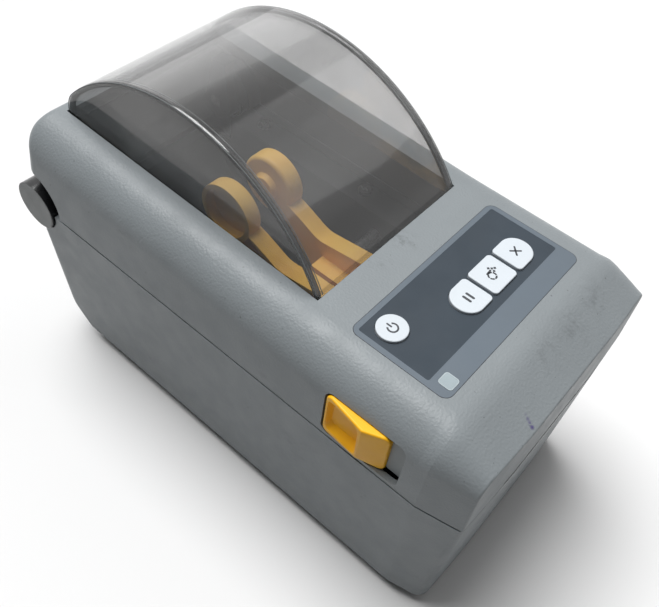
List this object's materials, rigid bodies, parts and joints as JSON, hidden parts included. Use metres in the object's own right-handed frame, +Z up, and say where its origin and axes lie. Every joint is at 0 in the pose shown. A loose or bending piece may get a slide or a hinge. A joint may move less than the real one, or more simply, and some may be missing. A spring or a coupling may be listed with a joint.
{
  "type": "barcode printer",
  "caption": "Desktop barcode label printer with a hinged cover, smoked window over the roll bay, side release latches, printhead, platen and sliding roll holders.",
  "frame": {"origin": "on the desk under the middle of the whole body", "axes": "+X to the printer's right side seen from its front, -Y out of the front with the label slot, +Z up"},
  "size_m": [0.1204, 0.219, 0.1506],
  "materials": {
    "casing_gray": "fine pebble texture",
    "lip_gray": "satin",
    "panel_gray": "satin",
    "inlay_slate": "satin film",
    "key_white": "satin",
    "tile_white": "satin",
    "smoked_clear": "clear, polished",
    "latch_yellow": "satin",
    "latch_gray": "fine texture",
    "hinge_black": "satin",
    "holder_yellow": "satin",
    "inner_black": "fine texture",
    "rubber_black": "matte",
    "steel": "satin",
    "spring_steel": "bright",
    "gear_ivory": "satin",
    "brass": "machined",
    "board_green": "lacquered",
    "chip_black": "matte",
    "head_aluminium": "satin",
    "head_ceramic": "glazed",
    "socket_ivory": "satin"
  },
  "bodies": {
    "base": {"base_housing": "casing_gray", "front_lip": "lip_gray", "tear_bar": "steel", "rubber_feet": "rubber_black", "media_bay": "inner_black", "print_deck": "inner_black", "platen_bushings": "gear_ivory", "gear_plate": "steel", "drive_motor": "steel", "main_board": "board_green", "board_parts": "chip_black", "socket_board": "board_green", "usb_port": "steel", "power_inlet": "chip_black", "option_blank": "casing_gray", "hinge_barrels": "hinge_black", "hinge_caps": "casing_gray", "hinge_pins": "steel", "catch_pins": "steel", "holder_rails": "steel", "holder_spring": "spring_steel", "board_screws": "steel", "deck_screws": "steel"},
    "platen": {"platen_shaft": "steel", "platen_roller": "rubber_black", "platen_gear": "gear_ivory"},
    "idler": {"idler_gear": "gear_ivory"},
    "motor_rotor": {"motor_pinion": "brass"},
    "sensor": {"sensor_slider": "inner_black"},
    "holder_left_set": {"holder_left": "holder_yellow", "rack_left": "holder_yellow"},
    "holder_right_set": {"holder_right": "holder_yellow", "rack_right": "holder_yellow"},
    "holder_gear": {"holder_pinion": "gear_ivory"},
    "cover": {"top_cover": "casing_gray", "window": "smoked_clear", "control_panel": "panel_gray", "panel_inlay": "inlay_slate", "panel_tile": "tile_white", "panel_board": "board_green", "key_switches": "steel", "panel_screws": "steel", "hinge_liners": "hinge_black", "head_frame": "inner_black", "upper_sensor": "inner_black", "head_springs": "spring_steel", "latch_springs": "spring_steel"},
    "printhead": {"head_body": "head_aluminium", "head_pivot_rod": "steel", "head_strip": "head_ceramic", "head_connector": "socket_ivory"},
    "latch": {"latch_frame": "latch_gray", "latch_grip_right": "latch_yellow", "latch_grip_left": "latch_yellow"},
    "power_button": {"power_key": "key_white"},
    "pause_button": {"pause_key": "key_white"},
    "feed_button": {"feed_key": "key_white"},
    "cancel_button": {"cancel_key": "key_white"}
  },
  "joints": [
    {"name": "cover_hinge", "type": "hinge", "parent": "base", "child": "cover", "pos_m": [0, 0.0991, 0.0778], "axis": [-1, 0, 0], "range_deg": [0, 95]},
    {"name": "latch_slide", "type": "slide", "parent": "cover", "child": "latch", "axis": [0, -1, 0], "range_m": [0, 0.005], "stiffness_N_per_m": 600, "springref_m": -0.006, "deforming": ["latch_springs"]},
    {"name": "head_tilt", "type": "hinge", "parent": "cover", "child": "printhead", "pos_m": [0, -0.066, 0.09], "axis": [-1, 0, 0], "range_deg": [0, 3], "stiffness_Nm_per_rad": 1.2, "springref_deg": -14.32, "deforming": ["head_springs"]},
    {"name": "power_press", "type": "slide", "parent": "cover", "child": "power_button", "axis": [0, 0, -1], "range_m": [0, 0.0008], "stiffness_N_per_m": 500, "springref_m": -0.0006},
    {"name": "pause_press", "type": "slide", "parent": "cover", "child": "pause_button", "axis": [0, 0, -1], "range_m": [0, 0.0008], "stiffness_N_per_m": 500, "springref_m": -0.0006},
    {"name": "feed_press", "type": "slide", "parent": "cover", "child": "feed_button", "axis": [0, 0, -1], "range_m": [0, 0.0008], "stiffness_N_per_m": 500, "springref_m": -0.0006},
    {"name": "cancel_press", "type": "slide", "parent": "cover", "child": "cancel_button", "axis": [0, 0, -1], "range_m": [0, 0.0008], "stiffness_N_per_m": 500, "springref_m": -0.0006},
    {"name": "platen_spin", "type": "hinge", "parent": "base", "child": "platen", "pos_m": [0, -0.097, 0.0715], "axis": [1, 0, 0], "continuous": true},
    {"name": "idler_spin", "type": "hinge", "parent": "base", "child": "idler", "pos_m": [0, -0.07989, 0.06278], "axis": [1, 0, 0], "continuous": true},
    {"name": "motor_spin", "type": "hinge", "parent": "base", "child": "motor_rotor", "pos_m": [0, -0.06909, 0.04991], "axis": [1, 0, 0], "continuous": true},
    {"name": "holder_left_slide", "type": "slide", "parent": "base", "child": "holder_left_set", "axis": [-1, 0, 0], "range_m": [0, 0.022], "stiffness_N_per_m": 60, "springref_m": -0.03, "deforming": ["holder_spring"]},
    {"name": "holder_right_slide", "type": "slide", "parent": "base", "child": "holder_right_set", "axis": [1, 0, 0], "range_m": [0, 0.022]},
    {"name": "holder_gear_spin", "type": "hinge", "parent": "base", "child": "holder_gear", "pos_m": [0, -0.012, 0.057], "axis": [0, 0, 1], "range_deg": [-158, 0]},
    {"name": "sensor_slide", "type": "slide", "parent": "base", "child": "sensor", "axis": [1, 0, 0], "range_m": [-0.024, 0.024]}
  ],
  "couplings": [
    {"joint": "idler_spin", "follows": "platen_spin", "ratio": -0.6},
    {"joint": "motor_spin", "follows": "platen_spin", "ratio": 1.5},
    {"joint": "holder_right_slide", "follows": "holder_left_slide", "ratio": 1},
    {"joint": "holder_gear_spin", "follows": "holder_left_slide", "rad_per_m": -125}
  ]
}
